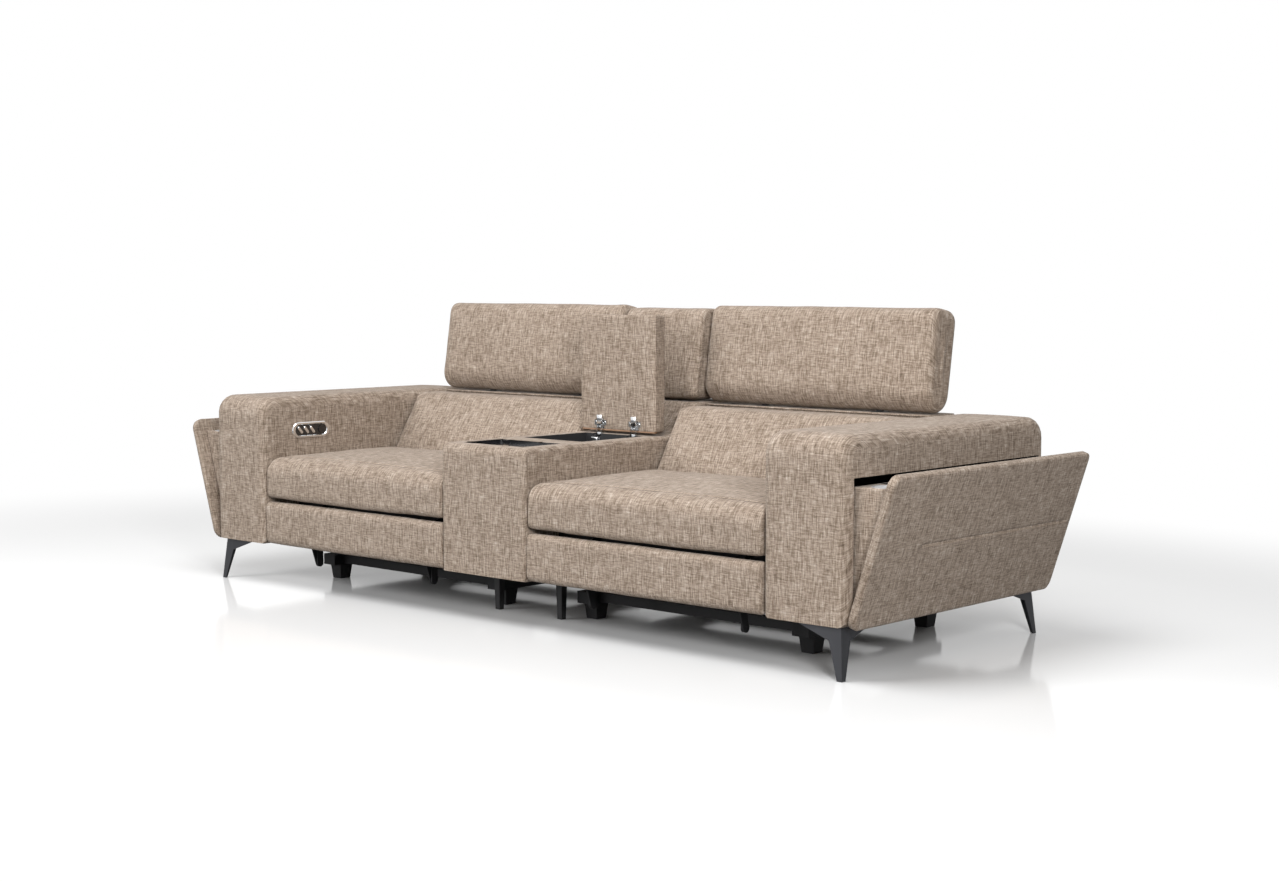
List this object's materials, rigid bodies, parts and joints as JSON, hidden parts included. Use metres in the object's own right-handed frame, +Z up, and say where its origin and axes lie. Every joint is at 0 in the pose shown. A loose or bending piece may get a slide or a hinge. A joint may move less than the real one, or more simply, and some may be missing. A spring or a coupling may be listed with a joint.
{
  "type": "sofa with drop down console",
  "caption": "Reclining sofa: console with a flip-up lid between its seats, arm sides that tilt out as bins, powered footrests, backs and headrests, folded corner legs.",
  "frame": {"origin": "on the floor under the middle of the whole sofa's bounding box", "axes": "+X to the sofa's right as seen from its front, +Y from its front to its back, +Z up"},
  "size_m": [3.114, 1.02, 0.9887],
  "materials": {
    "fabric": "slub weave",
    "gunmetal": "satin",
    "black_steel": "satin",
    "black_plastic": "matt",
    "dark_liner": "matt",
    "gloss_black": "gloss",
    "chrome": "polished",
    "brushed_steel": "brushed"
  },
  "bodies": {
    "base": {"console_box": "fabric", "console_bin": "dark_liner", "console_top_plate": "gloss_black", "lid_hinge_arms": "chrome", "centre_back_pillow": "fabric", "rear_skirts": "fabric", "mechanism_feet": "black_plastic", "console_legs": "black_plastic", "switch_bezels": "chrome", "switch_plates": "gloss_black", "arm_hinge_leaves": "black_steel", "left_arm": "fabric", "left_arm_liner": "dark_liner", "left_seat_cushion": "fabric", "left_seat_deck": "black_steel", "left_mechanism_frame": "black_steel", "left_front_leg": "gunmetal", "left_rear_leg": "gunmetal", "right_arm": "fabric", "right_arm_liner": "dark_liner", "right_seat_cushion": "fabric", "right_seat_deck": "black_steel", "right_mechanism_frame": "black_steel", "right_front_leg": "gunmetal", "right_rear_leg": "gunmetal"},
    "lid": {"console_lid": "fabric", "lid_hinge_cups": "chrome"},
    "left_flap": {"left_flap_panel": "fabric", "left_flap_bin": "dark_liner", "left_cup_holder": "brushed_steel", "left_flap_hinge_leaves": "black_steel"},
    "left_back": {"left_back_cushion": "fabric", "left_back_frame": "fabric", "left_headrest_arms": "black_steel"},
    "left_head": {"left_headrest": "fabric"},
    "left_lower_links": {"left_footrest_lower_links": "black_steel"},
    "left_upper_links": {"left_footrest_upper_links": "black_steel"},
    "left_footrest": {"left_footrest_panel": "fabric", "left_footrest_brackets": "black_steel"},
    "left_rocker_1_body": {"left_rocker_1": "chrome"},
    "left_rocker_2_body": {"left_rocker_2": "chrome"},
    "left_rocker_3_body": {"left_rocker_3": "chrome"},
    "left_knob": {"left_round_button": "gloss_black"},
    "right_flap": {"right_flap_panel": "fabric", "right_flap_bin": "dark_liner", "right_cup_holder": "brushed_steel", "right_flap_hinge_leaves": "black_steel"},
    "right_back": {"right_back_cushion": "fabric", "right_back_frame": "fabric", "right_headrest_arms": "black_steel"},
    "right_head": {"right_headrest": "fabric"},
    "right_lower_links": {"right_footrest_lower_links": "black_steel"},
    "right_upper_links": {"right_footrest_upper_links": "black_steel"},
    "right_footrest": {"right_footrest_panel": "fabric", "right_footrest_brackets": "black_steel"},
    "right_rocker_1_body": {"right_rocker_1": "chrome"},
    "right_rocker_2_body": {"right_rocker_2": "chrome"},
    "right_rocker_3_body": {"right_rocker_3": "chrome"},
    "right_knob": {"right_round_button": "gloss_black"}
  },
  "joints": [
    {"name": "console_lid_hinge", "type": "hinge", "parent": "base", "child": "lid", "pos_m": [0, 0.1095, 0.558], "axis": [1, 0, 0], "range_deg": [0, 90]},
    {"name": "left_flap_hinge", "type": "hinge", "parent": "base", "child": "left_flap", "pos_m": [-1.407, 0, 0.151], "axis": [0, -1, 0], "range_deg": [-18, 0]},
    {"name": "left_back_recline", "type": "hinge", "parent": "base", "child": "left_back", "pos_m": [-0.6525, 0.17, 0.35], "axis": [-1, 0, 0], "range_deg": [0, 30]},
    {"name": "left_headrest_tilt", "type": "hinge", "parent": "left_back", "child": "left_head", "pos_m": [-0.6525, 0.38, 0.729], "axis": [-1, 0, 0], "range_deg": [-20, 40]},
    {"name": "left_lower_link_swing", "type": "hinge", "parent": "base", "child": "left_lower_links", "pos_m": [-0.6525, -0.39, 0.268], "axis": [-1, 0, 0], "range_deg": [0, 85]},
    {"name": "left_upper_link_swing", "type": "hinge", "parent": "left_lower_links", "child": "left_upper_links", "pos_m": [-0.6525, -0.39, 0.082], "axis": [1, 0, 0], "range_deg": [0, 165]},
    {"name": "left_footrest_turn", "type": "hinge", "parent": "left_upper_links", "child": "left_footrest", "pos_m": [-0.6525, -0.444, 0.252], "axis": [-1, 0, 0], "range_deg": [0, 165]},
    {"name": "left_rocker_1_tip", "type": "hinge", "parent": "base", "child": "left_rocker_1_body", "pos_m": [-1.1177, -0.351, 0.54], "axis": [0, 0.766, 0.6428], "range_deg": [-4, 4], "stiffness_Nm_per_rad": 0.3},
    {"name": "left_rocker_2_tip", "type": "hinge", "parent": "base", "child": "left_rocker_2_body", "pos_m": [-1.1177, -0.324, 0.54], "axis": [0, 0.766, 0.6428], "range_deg": [-4, 4], "stiffness_Nm_per_rad": 0.3},
    {"name": "left_rocker_3_tip", "type": "hinge", "parent": "base", "child": "left_rocker_3_body", "pos_m": [-1.1177, -0.297, 0.54], "axis": [0, 0.766, 0.6428], "range_deg": [-4, 4], "stiffness_Nm_per_rad": 0.3},
    {"name": "left_knob_press", "type": "slide", "parent": "base", "child": "left_knob", "axis": [-1, 0, 0], "range_m": [0, 0.0012], "stiffness_N_per_m": 400},
    {"name": "right_flap_hinge", "type": "hinge", "parent": "base", "child": "right_flap", "pos_m": [1.407, 0, 0.151], "axis": [0, 1, 0], "range_deg": [-18, 0]},
    {"name": "right_back_recline", "type": "hinge", "parent": "base", "child": "right_back", "pos_m": [0.6525, 0.17, 0.35], "axis": [-1, 0, 0], "range_deg": [0, 30]},
    {"name": "right_headrest_tilt", "type": "hinge", "parent": "right_back", "child": "right_head", "pos_m": [0.6525, 0.38, 0.729], "axis": [-1, 0, 0], "range_deg": [-20, 40]},
    {"name": "right_lower_link_swing", "type": "hinge", "parent": "base", "child": "right_lower_links", "pos_m": [0.6525, -0.39, 0.268], "axis": [-1, 0, 0], "range_deg": [0, 85]},
    {"name": "right_upper_link_swing", "type": "hinge", "parent": "right_lower_links", "child": "right_upper_links", "pos_m": [0.6525, -0.39, 0.082], "axis": [1, 0, 0], "range_deg": [0, 165]},
    {"name": "right_footrest_turn", "type": "hinge", "parent": "right_upper_links", "child": "right_footrest", "pos_m": [0.6525, -0.444, 0.252], "axis": [-1, 0, 0], "range_deg": [0, 165]},
    {"name": "right_rocker_1_tip", "type": "hinge", "parent": "base", "child": "right_rocker_1_body", "pos_m": [1.1177, -0.351, 0.54], "axis": [0, 0.766, 0.6428], "range_deg": [-4, 4], "stiffness_Nm_per_rad": 0.3},
    {"name": "right_rocker_2_tip", "type": "hinge", "parent": "base", "child": "right_rocker_2_body", "pos_m": [1.1177, -0.324, 0.54], "axis": [0, 0.766, 0.6428], "range_deg": [-4, 4], "stiffness_Nm_per_rad": 0.3},
    {"name": "right_rocker_3_tip", "type": "hinge", "parent": "base", "child": "right_rocker_3_body", "pos_m": [1.1177, -0.297, 0.54], "axis": [0, 0.766, 0.6428], "range_deg": [-4, 4], "stiffness_Nm_per_rad": 0.3},
    {"name": "right_knob_press", "type": "slide", "parent": "base", "child": "right_knob", "axis": [1, 0, 0], "range_m": [0, 0.0012], "stiffness_N_per_m": 400}
  ],
  "couplings": [
    {"joint": "left_upper_link_swing", "follows": "left_lower_link_swing", "ratio": 1.941},
    {"joint": "left_footrest_turn", "follows": "left_lower_link_swing", "ratio": 1.941},
    {"joint": "right_upper_link_swing", "follows": "right_lower_link_swing", "ratio": 1.941},
    {"joint": "right_footrest_turn", "follows": "right_lower_link_swing", "ratio": 1.941}
  ]
}
